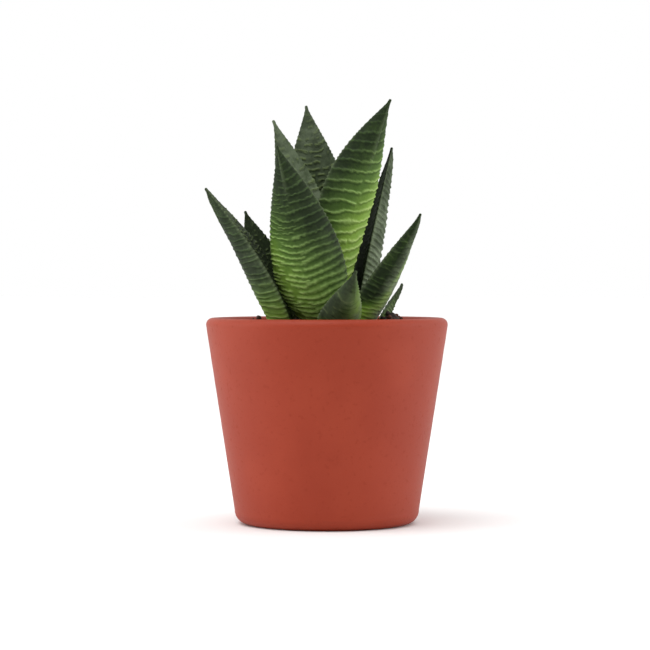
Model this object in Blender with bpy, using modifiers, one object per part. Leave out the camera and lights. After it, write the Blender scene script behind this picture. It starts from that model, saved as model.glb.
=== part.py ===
"""Potted haworthia: a small succulent rosette planted in a plain tapered clay pot.

Lengths are metres and +Z is up. The origin lies on the pot's axis, on the plane that its foot ring
stands on. The front of the plant faces -Y.
"""

import math
from collections import namedtuple

import bmesh
import bpy
from mathutils import Vector

MM = 0.001
GAP = 0.3 * MM                      # clearance between pieces that touch

# Pot
POT_HEIGHT = 64.5 * MM
RIM_RADIUS = 38.0 * MM              # outer radius just under the rounded lip
BASE_RADIUS = 28.4 * MM             # where the sloping wall would meet the foot plane
WALL = 4.4 * MM
HEEL_ROUND = 4.2 * MM               # round between the wall and the foot ring
FOOT_INNER_RADIUS = 19.0 * MM
FOOT_RECESS = 1.2 * MM
FLOOR_TOP = 6.0 * MM
FLOOR_ROUND = 5.0 * MM
DRAIN_RADIUS = 4.5 * MM
TURN_STEPS = 64

# Soil
SOIL_EDGE_DROP = 4.0 * MM           # how far the soil lies below the rim at the wall
SOIL_CENTRE_HEIGHT = 63.2 * MM
SOIL_PROFILE_STEPS = 6

# Stem: a short wide crown that the leaves spring from, and thick roots under it
CROWN_CENTRE_Y = 2.5 * MM
CROWN_TOP = 61.0 * MM
CROWN_RADIUS = 15.0 * MM
CROWN_DOME = 1.6 * MM               # how far the crown's edge lies below its middle
CROWN_DEPTH = 9.0 * MM              # from the crown's top down to where it has narrowed to the stem
STEM_RADIUS = 4.5 * MM
STEM_BOTTOM = 44.0 * MM
SOCKET_RISE = 4.0 * MM              # how far the stem's socket runs out above the soil
ROOT_COUNT = 5
ROOT_POINTS = 8
ROOT_RADIUS = 1.7 * MM
ROOT_TIP_RADIUS = 0.7 * MM
ROOT_START = 2.0 * MM               # distance from the stem's axis, and height above its bottom
ROOT_REACH = 15.0 * MM              # how far each root spreads outwards
ROOT_DEPTH = 20.0 * MM              # how far the roots go down, on average
ROOT_DEPTH_SPREAD = 4.0 * MM
ROOT_SWING = 0.5                    # how far each root turns round the axis on its way, in radians

# Leaves
RING_POINTS = 16
RINGS = 15
RING_CROWDING = 1.1                 # above 1 the sections lie closer together near the base
INNER_SHARE = 0.4                   # thickness in front of the spine as a share of that behind it
TIP_TAPER = 1.1                     # above 1 the leaf narrows a little faster towards its tip
THICKNESS_FADE = 0.75               # below 1 the leaf stays thick for longer than it stays wide

# base, middle and tip are points of the leaf's spine, in mm. face_base and face_tip are the compass
# directions, in degrees from +X, that the leaf's back faces. width and back are the greatest width
# and the greatest thickness behind the spine, in mm; peak is how far along the leaf they are reached.
# foot is the width at the base as a share of the greatest. cup is how far the margins curl inwards.
Leaf = namedtuple("Leaf", "name base middle tip face_base face_tip width back peak foot cup")
LEAVES = (
    Leaf("leaf_front_big", (-1.2, -7.5, 60), (-8.2, -14.5, 90), (-15.5, -12, 117.8),
         -95, -105, 22.4, 4.2, 0.30, 0.24, 2.6),
    Leaf("leaf_right_tall", (0.0, -0.8, 60.5), (5.9, -4.5, 97), (19.9, -6, 132.6),
         -66, -62, 18.0, 3.2, 0.56, 0.50, 2.2),
    Leaf("leaf_rear_left", (-4.5, 5.2, 60.5), (-8.0, 7.5, 94), (-17, 8, 127),
         115, 122, 20.6, 2.8, 0.38, 0.30, 1.8),
    Leaf("leaf_rear_tall", (-0.5, 10.5, 60.5), (-3.0, 15.5, 97), (-6.6, 14, 132),
         88, 95, 22.5, 3.2, 0.44, 0.30, 2.0),
    Leaf("leaf_left_long", (-12.2, -4.2, 60), (-21.4, -7.5, 81), (-37.9, -6, 105),
         182, 167, 15.6, 5.2, 0.33, 0.66, 2.7),
    Leaf("leaf_left_small", (-10.5, 8, 60), (-19.7, 11.8, 80), (-26.1, 13, 98.4),
         119, 119, 13.6, 3.0, 0.40, 0.40, 1.2),
    Leaf("leaf_right_narrow", (9, 4.5, 60), (14.5, 8.8, 90), (20.7, 10, 118.5),
         10, 18, 13.0, 3.8, 0.36, 0.40, 1.8),
    Leaf("leaf_front_right", (8.2, -7, 60), (19.5, -12.3, 79), (28.9, -16, 96.8),
         -42, -42, 10.9, 4.0, 0.22, 0.36, 1.6),
    Leaf("leaf_front_short", (2.7, -13.2, 60), (5.2, -22.5, 67.8), (8.8, -32, 79.2),
         -76, -76, 13.2, 3.4, 0.24, 0.66, 1.4),
    Leaf("leaf_right_tiny", (15.2, 2.5, 60), (19.2, 4, 67), (23.9, 5, 75.3),
         10, 10, 6.0, 1.8, 0.34, 0.50, 0.6),
    Leaf("leaf_back_right", (6.5, 14, 60), (9, 20.5, 79), (11, 25, 96),
         60, 60, 13.0, 3.4, 0.36, 0.40, 1.6),
    Leaf("leaf_back_left", (-7, 15, 60), (-10.5, 22, 80), (-12.5, 27, 98),
         115, 115, 13.0, 3.4, 0.36, 0.40, 1.6),
    Leaf("leaf_back_low", (-0.5, 19, 60), (-1.5, 26, 69), (-2.5, 33, 80),
         93, 93, 12.0, 3.0, 0.36, 0.45, 1.2),
    Leaf("leaf_heart", (4.6, 5.2, 60.5), (4.3, 5.8, 80), (3.1, 6.2, 99),
         50, 60, 7.0, 2.0, 0.36, 0.55, 0.6),
)

POT_COLOR = (0.35, 0.062, 0.034, 1.0)
SOIL_COLOR = (0.035, 0.022, 0.014, 1.0)
STEM_COLOR = (0.33, 0.26, 0.15, 1.0)
LEAF_COLOR = (0.055, 0.125, 0.035, 1.0)


def clear_scene():
    for old in list(bpy.data.objects):
        bpy.data.objects.remove(old, do_unlink=True)


def new_collection(name):
    collection = bpy.data.collections.new(name)
    bpy.context.scene.collection.children.link(collection)
    return collection


def new_material(name, color, roughness):
    material = bpy.data.materials.new(name)
    material.use_nodes = True
    shader = material.node_tree.nodes["Principled BSDF"]
    shader.inputs["Base Color"].default_value = color
    shader.inputs["Roughness"].default_value = roughness
    shader.inputs["Metallic"].default_value = 0.0
    return material


def add_part(name, mesh, collection, material):
    part = bpy.data.objects.new(name, mesh)
    part.data.materials.append(material)
    collection.objects.link(part)
    return part


def add_cutter(name, mesh, collection):
    cutter = bpy.data.objects.new(name, mesh)
    cutter.hide_render = True
    cutter.display_type = "WIRE"
    collection.objects.link(cutter)
    return cutter


def add_boolean(part, operation, other):
    boolean = part.modifiers.new(operation.lower() + "_" + other.name, "BOOLEAN")
    boolean.operation = operation
    boolean.solver = "EXACT"
    boolean.object = other


def arc(centre_r, centre_z, radius, start_deg, end_deg, count):
    """Points of an arc in the profile plane, as (distance from the axis, height)."""
    points = []
    for i in range(count):
        angle = math.radians(start_deg + (end_deg - start_deg) * i / (count - 1))
        points.append((centre_r + radius * math.cos(angle), centre_z + radius * math.sin(angle)))
    return points


def profile_mesh(name, points, closed):
    """A chain of edges in the XZ plane for a Screw modifier."""
    mesh = bpy.data.meshes.new(name)
    edges = [(i, i + 1) for i in range(len(points) - 1)]
    if closed:
        edges.append((len(points) - 1, 0))
    mesh.from_pydata([(r, 0.0, z) for r, z in points], edges, [])
    return mesh


def add_screw(part):
    screw = part.modifiers.new("turn", "SCREW")
    screw.axis = "Z"
    screw.angle = math.tau
    screw.steps = TURN_STEPS
    screw.render_steps = TURN_STEPS
    screw.use_merge_vertices = True
    screw.merge_threshold = 0.00001
    screw.use_smooth_shade = True


def outer_wall(z):
    slope = (RIM_RADIUS - BASE_RADIUS) / (POT_HEIGHT - WALL / 2)
    return BASE_RADIUS + slope * z


def inner_wall(z):
    return outer_wall(z) - WALL


def pot_profile():
    """Over the lip, down the outside, under the foot ring, up the drain hole, across the floor."""
    lip_z = POT_HEIGHT - WALL / 2
    lip = arc(outer_wall(lip_z) - WALL / 2, lip_z, WALL / 2, 180, 0, 9)
    heel = arc(outer_wall(HEEL_ROUND) - HEEL_ROUND, HEEL_ROUND, HEEL_ROUND, 0, -90, 6)
    foot = [(FOOT_INNER_RADIUS, 0.0), (FOOT_INNER_RADIUS - FOOT_RECESS, FOOT_RECESS)]
    drain = [(DRAIN_RADIUS, FOOT_RECESS), (DRAIN_RADIUS, FLOOR_TOP)]
    floor_z = FLOOR_TOP + FLOOR_ROUND
    floor = arc(inner_wall(floor_z) - FLOOR_ROUND, floor_z, FLOOR_ROUND, -90, 0, 5)
    return lip + heel + foot + drain + floor


def soil_profile():
    """From the axis outwards over the mound, down beside the pot's wall and back to the axis."""
    edge_z = POT_HEIGHT - SOIL_EDGE_DROP
    edge_r = inner_wall(edge_z) - GAP
    surface = []
    for i in range(SOIL_PROFILE_STEPS + 1):
        share = i / SOIL_PROFILE_STEPS
        height = edge_z + (SOIL_CENTRE_HEIGHT - edge_z) * (0.5 + 0.5 * math.cos(math.pi * share))
        surface.append((edge_r * share, height))
    floor_z = FLOOR_TOP + FLOOR_ROUND
    floor = arc(inner_wall(floor_z) - FLOOR_ROUND, floor_z, FLOOR_ROUND - GAP, 0, -90, 5)
    return surface + floor + [(0.0, FLOOR_TOP + GAP)]


def crown_profile(grow, top):
    """The stem's outline: a shallow dome, a steep taper under it and a blunt end."""
    return [
        (0.0, top + grow),
        (0.6 * CROWN_RADIUS, top - 0.25 * CROWN_DOME + grow),
        (CROWN_RADIUS + grow, top - CROWN_DOME + grow),
        (CROWN_RADIUS + grow, CROWN_TOP - 2 * CROWN_DOME),
        (0.7 * CROWN_RADIUS + grow, CROWN_TOP - 0.7 * CROWN_DEPTH),
        (STEM_RADIUS + grow, CROWN_TOP - CROWN_DEPTH),
        (0.8 * STEM_RADIUS + grow, STEM_BOTTOM),
        (0.0, STEM_BOTTOM - 1.0 * MM - grow),
    ]


def root_points(index):
    """One root's route: out of the stem's foot, then down and outwards in an easy curve."""
    turn = math.tau * (index + 0.3) / ROOT_COUNT
    depth = ROOT_DEPTH + ROOT_DEPTH_SPREAD * math.sin(2.6 * index)
    points = []
    for i in range(ROOT_POINTS):
        share = i / (ROOT_POINTS - 1)
        reach = ROOT_START + ROOT_REACH * share ** 0.8
        angle = turn + ROOT_SWING * share
        z = STEM_BOTTOM + ROOT_START - depth * share ** 1.3
        points.append(Vector((reach * math.cos(angle), CROWN_CENTRE_Y + reach * math.sin(angle), z)))
    return points


def root_mesh(name, index, grow):
    """A tapered tube along the root's route, with its end caps welded on."""
    curve = bpy.data.curves.new(name, "CURVE")
    curve.dimensions = "3D"
    curve.bevel_depth = 1.0
    curve.bevel_resolution = 1
    curve.use_fill_caps = True
    points = root_points(index)
    points[-1] += (points[-1] - points[-2]).normalized() * 2 * grow
    spline = curve.splines.new("POLY")
    spline.points.add(len(points) - 1)
    for i, place in enumerate(points):
        share = i / (len(points) - 1)
        spline.points[i].co = (*place, 1.0)
        spline.points[i].radius = ROOT_RADIUS + (ROOT_TIP_RADIUS - ROOT_RADIUS) * share + grow
    tube = bpy.data.objects.new(name, curve)
    bpy.context.scene.collection.objects.link(tube)
    bpy.context.view_layer.update()
    mesh = bpy.data.meshes.new_from_object(tube.evaluated_get(bpy.context.evaluated_depsgraph_get()))
    bpy.data.objects.remove(tube)
    shape = bmesh.new()
    shape.from_mesh(mesh)
    bmesh.ops.remove_doubles(shape, verts=shape.verts, dist=0.00001)
    bmesh.ops.recalc_face_normals(shape, faces=shape.faces)
    shape.to_mesh(mesh)
    shape.free()
    return mesh


def leaf_width(leaf, t):
    """Share of the leaf's greatest width: a quarter sine up to the peak, then a cosine to the tip."""
    if t < leaf.peak:
        return leaf.foot + (1 - leaf.foot) * math.sin(math.pi / 2 * t / leaf.peak)
    along = (t - leaf.peak) / (1 - leaf.peak)
    return max(math.cos(math.pi / 2 * along), 0.0) ** TIP_TAPER


def leaf_frame(leaf, t):
    """The spine's point at t, with the directions along the leaf, across it and out of its back.

    The spine is the parabola through base, middle and tip.
    """
    base, middle, tip = (Vector(point) * MM for point in (leaf.base, leaf.middle, leaf.tip))
    lift = 4 * middle - 3 * base - tip
    curl = 2 * base + 2 * tip - 4 * middle
    point = base + lift * t + curl * t * t
    along = (lift + 2 * curl * t).normalized()
    facing = math.radians(leaf.face_base + (leaf.face_tip - leaf.face_base) * t)
    back = Vector((math.cos(facing), math.sin(facing), 0.0))
    back = (back - back.dot(along) * along).normalized()
    return point, along, along.cross(back), back


def leaf_ring(leaf, t, grow):
    """A section of the leaf: round at the back, flatter inside, with its margins curled inwards."""
    point, along, across, back = leaf_frame(leaf, t)
    width = leaf_width(leaf, t)
    half = 0.5 * leaf.width * MM * width + grow
    thick = leaf.back * MM * width ** THICKNESS_FADE
    if t == 0:
        point = point - along * grow
    ring = []
    for i in range(RING_POINTS):
        turn = math.tau * i / RING_POINTS
        u = math.cos(turn)
        depth = math.sin(turn) * ((1.0 if math.sin(turn) > 0 else INNER_SHARE) * thick + grow)
        depth -= leaf.cup * MM * width * u * u
        ring.append(point + across * (half * u) + back * depth)
    return ring


def leaf_mesh(leaf, grow):
    """A loft through the leaf's sections, closed by a flat base and a pointed tip."""
    shape = bmesh.new()
    rings = []
    for i in range(RINGS):
        t = (i / RINGS) ** RING_CROWDING
        rings.append([shape.verts.new(place) for place in leaf_ring(leaf, t, grow)])
    tip_point, tip_along, _, _ = leaf_frame(leaf, 1.0)
    tip = shape.verts.new(tip_point + tip_along * grow)
    shape.faces.new(rings[0])
    for lower, upper in zip(rings, rings[1:]):
        for i in range(RING_POINTS):
            j = (i + 1) % RING_POINTS
            shape.faces.new((lower[i], lower[j], upper[j], upper[i]))
    for i in range(RING_POINTS):
        shape.faces.new((rings[-1][i], rings[-1][(i + 1) % RING_POINTS], tip))
    bmesh.ops.recalc_face_normals(shape, faces=shape.faces)
    mesh = bpy.data.meshes.new(leaf.name)
    shape.to_mesh(mesh)
    shape.free()
    mesh.shade_smooth()
    return mesh


def build():
    clear_scene()
    parts = new_collection("potted_haworthia")
    cutters = new_collection("cutters")
    clay = new_material("pot_clay", POT_COLOR, 0.55)
    earth = new_material("potting_soil", SOIL_COLOR, 0.95)
    stem_skin = new_material("stem_skin", STEM_COLOR, 0.7)
    leaf_skin = new_material("leaf_skin", LEAF_COLOR, 0.45)

    pot = add_part("pot", profile_mesh("pot", pot_profile(), closed=True), parts, clay)
    add_screw(pot)

    soil = add_part("soil", profile_mesh("soil", soil_profile(), closed=False), parts, earth)
    add_screw(soil)

    stem = add_part("stem", profile_mesh("stem", crown_profile(0.0, CROWN_TOP), closed=False),
                    parts, stem_skin)
    stem.location.y = CROWN_CENTRE_Y
    add_screw(stem)
    socket_outline = crown_profile(GAP, SOIL_CENTRE_HEIGHT + SOCKET_RISE)
    socket = add_cutter("stem_socket", profile_mesh("stem_socket", socket_outline, closed=False), cutters)
    socket.location.y = CROWN_CENTRE_Y
    add_screw(socket)
    add_boolean(soil, "DIFFERENCE", socket)

    for index in range(ROOT_COUNT):
        number = str(index + 1)
        add_boolean(stem, "UNION", add_cutter("root_" + number, root_mesh("root", index, 0.0), cutters))
        burrow = add_cutter("root_burrow_" + number, root_mesh("burrow", index, GAP), cutters)
        add_boolean(soil, "DIFFERENCE", burrow)

    for leaf in LEAVES:
        add_part(leaf.name, leaf_mesh(leaf, 0.0), parts, leaf_skin)
        leaf_socket = add_cutter(leaf.name + "_socket", leaf_mesh(leaf, GAP), cutters)
        add_boolean(stem, "DIFFERENCE", leaf_socket)
        add_boolean(soil, "DIFFERENCE", leaf_socket)


build()
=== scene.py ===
"""Potted haworthia: a ridged succulent rosette in a plain tapered clay pot, with a pale studio round it."""

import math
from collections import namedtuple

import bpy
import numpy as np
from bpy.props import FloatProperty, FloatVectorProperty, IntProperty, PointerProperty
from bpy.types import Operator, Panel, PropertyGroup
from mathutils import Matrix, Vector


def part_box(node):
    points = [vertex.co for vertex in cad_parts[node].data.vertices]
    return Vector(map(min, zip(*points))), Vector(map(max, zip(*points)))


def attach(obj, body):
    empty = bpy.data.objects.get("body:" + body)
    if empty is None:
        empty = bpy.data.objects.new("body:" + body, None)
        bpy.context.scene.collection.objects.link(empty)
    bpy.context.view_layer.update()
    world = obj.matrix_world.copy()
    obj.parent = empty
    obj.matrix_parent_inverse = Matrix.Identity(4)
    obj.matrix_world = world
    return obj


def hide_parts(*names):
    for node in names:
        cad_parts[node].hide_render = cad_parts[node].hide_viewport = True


bl_info = {
    "name": "Potted Haworthia",
    "version": (1, 0, 0),
    "blender": (4, 5, 0),
    "location": "View3D > Sidebar > Haworthia",
    "description": "Builds a ridged haworthia rosette in a tapered clay pot, and a pale studio for it",
    "category": "Add Mesh",
}

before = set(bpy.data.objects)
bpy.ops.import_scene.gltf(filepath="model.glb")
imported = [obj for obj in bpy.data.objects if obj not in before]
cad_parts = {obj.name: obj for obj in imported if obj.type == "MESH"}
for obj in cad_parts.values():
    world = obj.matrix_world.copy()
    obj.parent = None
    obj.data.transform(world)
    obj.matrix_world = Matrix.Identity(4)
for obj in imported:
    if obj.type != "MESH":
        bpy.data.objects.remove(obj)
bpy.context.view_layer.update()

POT_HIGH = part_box("pot")[1]
MM = 0.001
TAU = 2 * math.pi
NO_TRIANGLES = np.zeros((0, 3))


# ---------------------------------------------------------------- leaves: where they grow

# base, middle and tip are points of the leaf's spine, in mm. face_base and face_tip are the compass
# directions, in degrees from +X, that the leaf's back faces. width and back are the greatest width
# and the greatest thickness behind the spine, in mm; peak is how far along the leaf they are reached.
# foot is the width at the base as a share of the greatest. cup is how far the margins curl inwards.
Leaf = namedtuple("Leaf", "name base middle tip face_base face_tip width back peak foot cup")
LEAVES = (
    Leaf("leaf_front_big", (-1.2, -7.5, 60), (-8.2, -14.5, 90), (-15.5, -12, 117.8),
         -95, -105, 22.4, 4.2, 0.30, 0.24, 2.6),
    Leaf("leaf_right_tall", (0.0, -0.8, 60.5), (5.9, -4.5, 97), (19.9, -6, 132.6),
         -66, -62, 18.0, 3.2, 0.56, 0.50, 2.2),
    Leaf("leaf_rear_left", (-4.5, 5.2, 60.5), (-8.0, 7.5, 94), (-17, 8, 127),
         115, 122, 20.6, 2.8, 0.38, 0.30, 1.8),
    Leaf("leaf_rear_tall", (-0.5, 10.5, 60.5), (-3.0, 15.5, 97), (-6.6, 14, 132),
         88, 95, 22.5, 3.2, 0.44, 0.30, 2.0),
    Leaf("leaf_left_long", (-12.2, -4.2, 60), (-21.4, -7.5, 81), (-37.9, -6, 105),
         182, 167, 15.6, 5.2, 0.33, 0.66, 2.7),
    Leaf("leaf_left_small", (-10.5, 8, 60), (-19.7, 11.8, 80), (-26.1, 13, 98.4),
         119, 119, 13.6, 3.0, 0.40, 0.40, 1.2),
    Leaf("leaf_right_narrow", (9, 4.5, 60), (14.5, 8.8, 90), (20.7, 10, 118.5),
         10, 18, 13.0, 3.8, 0.36, 0.40, 1.8),
    Leaf("leaf_front_right", (8.2, -7, 60), (19.5, -12.3, 79), (28.9, -16, 96.8),
         -42, -42, 10.9, 4.0, 0.22, 0.36, 1.6),
    Leaf("leaf_front_short", (2.7, -13.2, 60), (5.2, -22.5, 67.8), (8.8, -32, 79.2),
         -76, -76, 13.2, 3.4, 0.24, 0.66, 1.4),
    Leaf("leaf_right_tiny", (15.2, 2.5, 60), (19.2, 4, 67), (23.9, 5, 75.3),
         10, 10, 6.0, 1.8, 0.34, 0.50, 0.6),
    Leaf("leaf_back_right", (6.5, 14, 60), (9, 20.5, 79), (11, 25, 96),
         60, 60, 13.0, 3.4, 0.36, 0.40, 1.6),
    Leaf("leaf_back_left", (-7, 15, 60), (-10.5, 22, 80), (-12.5, 27, 98),
         115, 115, 13.0, 3.4, 0.36, 0.40, 1.6),
    Leaf("leaf_back_low", (-0.5, 19, 60), (-1.5, 26, 69), (-2.5, 33, 80),
         93, 93, 12.0, 3.0, 0.36, 0.45, 1.2),
    Leaf("leaf_heart", (4.6, 5.2, 60.5), (4.3, 5.8, 80), (3.1, 6.2, 99),
         50, 60, 7.0, 2.0, 0.36, 0.55, 0.6),
)
INNER_SHARE = 0.4                   # thickness in front of the spine as a share of that behind it
TIP_TAPER = 1.1                     # above 1 the leaf narrows a little faster towards its tip
THICKNESS_FADE = 0.75               # below 1 the leaf stays thick for longer than it stays wide
TIP_ROUND = 0.45                    # radius of the blunt tip, in mm
WART_HEIGHT = 0.30                  # height of a wart on a fully warty face, in mm
KEEL_HEIGHT = 0.55                  # height of the keel near the tip, in mm
TOOTH_PITCH = 1.45                  # distance from tooth to tooth along a margin, in mm
MARGIN = 0.14                       # how far the teeth reach round a margin, as a share of the thickness

# The ribs of each leaf. pitch is the distance from rib to rib in mm, tight is that distance left of the
# keel as a share of it, and fringe the same in the strip along the left margin. sweep_left and
# sweep_right are how much nearer the tip a rib's ends lie than its middle, in mm. keel is where the keel
# runs, from -1 at the left margin to 1 at the right. gaps_left and gaps_right are how broken the ribs are
# on each side of it. height is the ribs' height in mm, and broad how much broader they are at the base.
# rows is the distance between the rows of warts inside, in mm, and warts how warty the inner face is. A
# back whose ribs are low has some of those warts too.
Ribs = namedtuple(
    "Ribs", "pitch tight fringe sweep_left sweep_right keel gaps_left gaps_right height broad rows warts")
RIBS = {
    "leaf_front_big": Ribs(2.55, 0.78, 0.60, 2.6, 1.8, -0.05, 0.36, 0.12, 0.36, 0.15, 2.3, 0.5),
    "leaf_right_tall": Ribs(3.30, 1.00, 1.00, -2.2, 3.2, 0.16, 0.02, 0.08, 0.40, 0.04, 2.3, 0.4),
    "leaf_rear_left": Ribs(2.60, 0.90, 0.90, 2.4, 2.4, 0.00, 0.20, 0.20, 0.34, 0.08, 2.6, 0.75),
    "leaf_rear_tall": Ribs(2.50, 1.00, 1.00, 2.2, 2.2, 0.05, 0.20, 0.20, 0.36, 0.08, 1.95, 1.0),
    "leaf_left_long": Ribs(2.10, 1.00, 1.00, 2.4, -2.6, 0.00, 0.25, 0.25, 0.20, 0.02, 1.5, 1.0),
    "leaf_left_small": Ribs(2.10, 1.00, 1.00, 1.6, 1.6, 0.00, 0.30, 0.30, 0.30, 0.06, 1.8, 0.7),
    "leaf_right_narrow": Ribs(2.10, 1.00, 1.00, 2.6, 2.6, 0.00, 0.10, 0.10, 0.38, 0.06, 2.0, 0.8),
    "leaf_front_right": Ribs(1.70, 1.00, 1.00, -1.6, 2.4, 0.10, 0.45, 0.40, 0.16, 0.04, 2.0, 0.6),
    "leaf_front_short": Ribs(1.80, 1.00, 1.00, 1.2, 1.2, 0.45, 0.70, 0.60, 0.07, 0.04, 1.8, 0.4),
    "leaf_right_tiny": Ribs(1.60, 1.00, 1.00, 1.2, 1.2, 0.00, 0.30, 0.30, 0.24, 0.06, 1.6, 0.6),
    "leaf_back_right": Ribs(2.40, 0.95, 0.95, 2.0, 2.0, 0.05, 0.20, 0.15, 0.34, 0.08, 2.1, 0.7),
    "leaf_back_left": Ribs(2.50, 1.00, 0.75, 2.0, 2.0, -0.05, 0.15, 0.20, 0.34, 0.10, 2.1, 0.7),
    "leaf_back_low": Ribs(2.30, 1.00, 1.00, 1.8, 1.8, 0.00, 0.25, 0.25, 0.32, 0.08, 2.0, 0.7),
    "leaf_heart": Ribs(1.90, 1.00, 1.00, 1.6, 1.6, 0.00, 0.25, 0.25, 0.24, 0.06, 1.8, 0.5),
}

# The colour of each leaf. glow is how yellow-green and bright it is at its base: partly the skin's own
# paler base, partly painted light shining through the leaf. fade is how far along the leaf that reaches,
# and tilt how much brighter its right side is than its left, as painted light and shade. bloom is how much
# pale wax and painted sheen lie on its back, and bloom_low and bloom_high how much lie on the lower and the
# upper half of its inner face. shade is how much painted shade darkens the inner face at the base, and
# shade_high how much at the tip.
Tint = namedtuple("Tint", "glow fade tilt bloom bloom_low bloom_high shade shade_high")
TINTS = {
    "leaf_front_big": Tint(0.70, 0.72, -0.78, 0.04, 0.20, 0.20, 0.00, 0.00),
    "leaf_right_tall": Tint(1.28, 0.94, 0.62, 0.07, 0.10, 0.10, 0.00, 0.00),
    "leaf_rear_left": Tint(0.75, 1.05, 0.00, 0.03, 1.20, 0.50, 0.00, 0.00),
    "leaf_rear_tall": Tint(0.50, 1.00, 0.00, 0.08, 0.00, 0.56, 0.42, 0.08),
    "leaf_left_long": Tint(1.20, 0.56, -0.30, 0.10, 0.00, 0.46, 0.90, 0.22),
    "leaf_left_small": Tint(0.05, 0.60, 0.00, 0.00, 0.10, 0.20, 0.40, 0.20),
    "leaf_right_narrow": Tint(0.20, 0.60, 0.00, 0.70, 0.00, 0.00, 1.00, 0.90),
    "leaf_front_right": Tint(2.50, 0.66, 2.70, 0.62, 0.00, 0.00, 0.50, 0.50),
    "leaf_front_short": Tint(0.85, 1.00, 1.20, 0.34, 0.12, 0.12, 0.20, 0.20),
    "leaf_right_tiny": Tint(1.00, 1.00, 0.00, 0.40, 0.30, 0.30, 0.00, 0.00),
    "leaf_back_right": Tint(0.80, 0.66, 0.00, 0.05, 0.20, 0.20, 0.20, 0.20),
    "leaf_back_left": Tint(0.85, 0.66, 0.00, 0.05, 0.20, 0.20, 0.20, 0.20),
    "leaf_back_low": Tint(0.70, 0.70, 0.00, 0.05, 0.20, 0.20, 0.20, 0.20),
    "leaf_heart": Tint(0.80, 0.90, 0.00, 0.00, 0.10, 0.10, 0.30, 0.30),
}


# ---------------------------------------------------------------- sizes and colours to change


class PotLook(PropertyGroup):
    wall: FloatProperty(
        name="Wall", description="Thickness of the pot's wall", default=4.4 * MM, unit="LENGTH")
    heel: FloatProperty(
        name="Heel", description="Round between the wall and the foot", default=4.2 * MM, unit="LENGTH")
    taper: FloatProperty(
        name="Taper", description="How much narrower the foot is than the rim, at the radius",
        default=9.6 * MM, unit="LENGTH")
    waver: FloatProperty(
        name="Waver", description="How far the hand-finished wall strays from a true circle",
        default=0.10 * MM, unit="LENGTH")
    clay: FloatVectorProperty(
        name="Clay", description="Colour of the fired clay", default=(0.300, 0.030, 0.0070),
        size=3, subtype="COLOR")
    clay_light: FloatVectorProperty(
        name="Light Clay", description="Colour of the drier, lighter patches",
        default=(0.325, 0.036, 0.0100), size=3, subtype="COLOR")


class SoilLook(PropertyGroup):
    edge_drop: FloatProperty(
        name="Edge Drop", description="How far the soil lies below the rim at the wall",
        default=4.0 * MM, unit="LENGTH")
    mound: FloatProperty(
        name="Mound", description="Height of the soil in the middle above its edge",
        default=2.9 * MM, unit="LENGTH")
    crumbs: IntProperty(name="Crumbs", description="Number of loose crumbs of soil", default=1500)
    grains: IntProperty(name="Grains", description="Number of pale mineral grains", default=46)
    peat: FloatVectorProperty(
        name="Peat", description="Colour of the damp peat", default=(0.022, 0.013, 0.009),
        size=3, subtype="COLOR")
    bark: FloatVectorProperty(
        name="Bark", description="Colour of the dry reddish bark", default=(0.120, 0.042, 0.024),
        size=3, subtype="COLOR")
    mineral: FloatVectorProperty(
        name="Mineral", description="Colour of the pale grains", default=(0.62, 0.58, 0.50),
        size=3, subtype="COLOR")


class StemLook(PropertyGroup):
    cork: FloatVectorProperty(
        name="Cork", description="Colour of the corky stem and roots", default=(0.30, 0.22, 0.12),
        size=3, subtype="COLOR")
    cork_dark: FloatVectorProperty(
        name="Dark Cork", description="Colour of its cross wrinkles", default=(0.10, 0.062, 0.032),
        size=3, subtype="COLOR")


class LeafLook(PropertyGroup):
    row_step: FloatProperty(
        name="Row Step", description="Distance between the mesh's rows along a leaf",
        default=0.17 * MM, unit="LENGTH")
    rib_scale: FloatProperty(
        name="Rib Height", description="Height of all ribs, as a share of their own", default=1.0,
        subtype="FACTOR")
    tooth: FloatProperty(
        name="Tooth", description="Height of the small teeth along the margins",
        default=0.28 * MM, unit="LENGTH")
    # Painted shade: the colour laid in the shadow under the ribs, over the skin's own darker line, and on
    # inner faces that lie in shade.
    shade_green: FloatVectorProperty(
        name="Deep Green", description="Skin under the ribs and in the shaded inner faces",
        default=(0.0040, 0.0080, 0.0020), size=3, subtype="COLOR")
    dark: FloatVectorProperty(
        name="Dark Green", description="Skin between the ribs near the tip",
        default=(0.0100, 0.0190, 0.0055), size=3, subtype="COLOR")
    mid: FloatVectorProperty(
        name="Mid Green", description="Skin between the ribs half-way down",
        default=(0.0620, 0.1260, 0.0165), size=3, subtype="COLOR")
    bright: FloatVectorProperty(
        name="Bright Green", description="Skin between the ribs near the base",
        default=(0.2150, 0.3700, 0.0440), size=3, subtype="COLOR")
    rib_dark: FloatVectorProperty(
        name="Rib, Tip", description="Colour of the ribs near the tip",
        default=(0.0380, 0.0680, 0.0210), size=3, subtype="COLOR")
    rib_mid: FloatVectorProperty(
        name="Rib, Middle", description="Colour of the ribs half-way down",
        default=(0.2500, 0.3950, 0.1050), size=3, subtype="COLOR")
    rib_bright: FloatVectorProperty(
        name="Rib, Base", description="Colour of the ribs near the base",
        default=(0.4700, 0.6400, 0.1900), size=3, subtype="COLOR")
    # Colour of the pale wax, also laid on as painted sheen on the skin.
    bloom: FloatVectorProperty(
        name="Bloom", description="Pale wax bloom on the skin", default=(0.1900, 0.2350, 0.1500),
        size=3, subtype="COLOR")
    wart: FloatVectorProperty(
        name="Warts", description="Colour of the small warts on the inner faces",
        default=(0.1700, 0.2250, 0.0900), size=3, subtype="COLOR")
    tooth_color: FloatVectorProperty(
        name="Teeth", description="Colour of the teeth and the keel", default=(0.1500, 0.1950, 0.1000),
        size=3, subtype="COLOR")
    root_tint: FloatVectorProperty(
        name="Base Tint", description="Olive brown where a leaf leaves the soil",
        default=(0.0600, 0.0560, 0.0150), size=3, subtype="COLOR")


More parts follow.
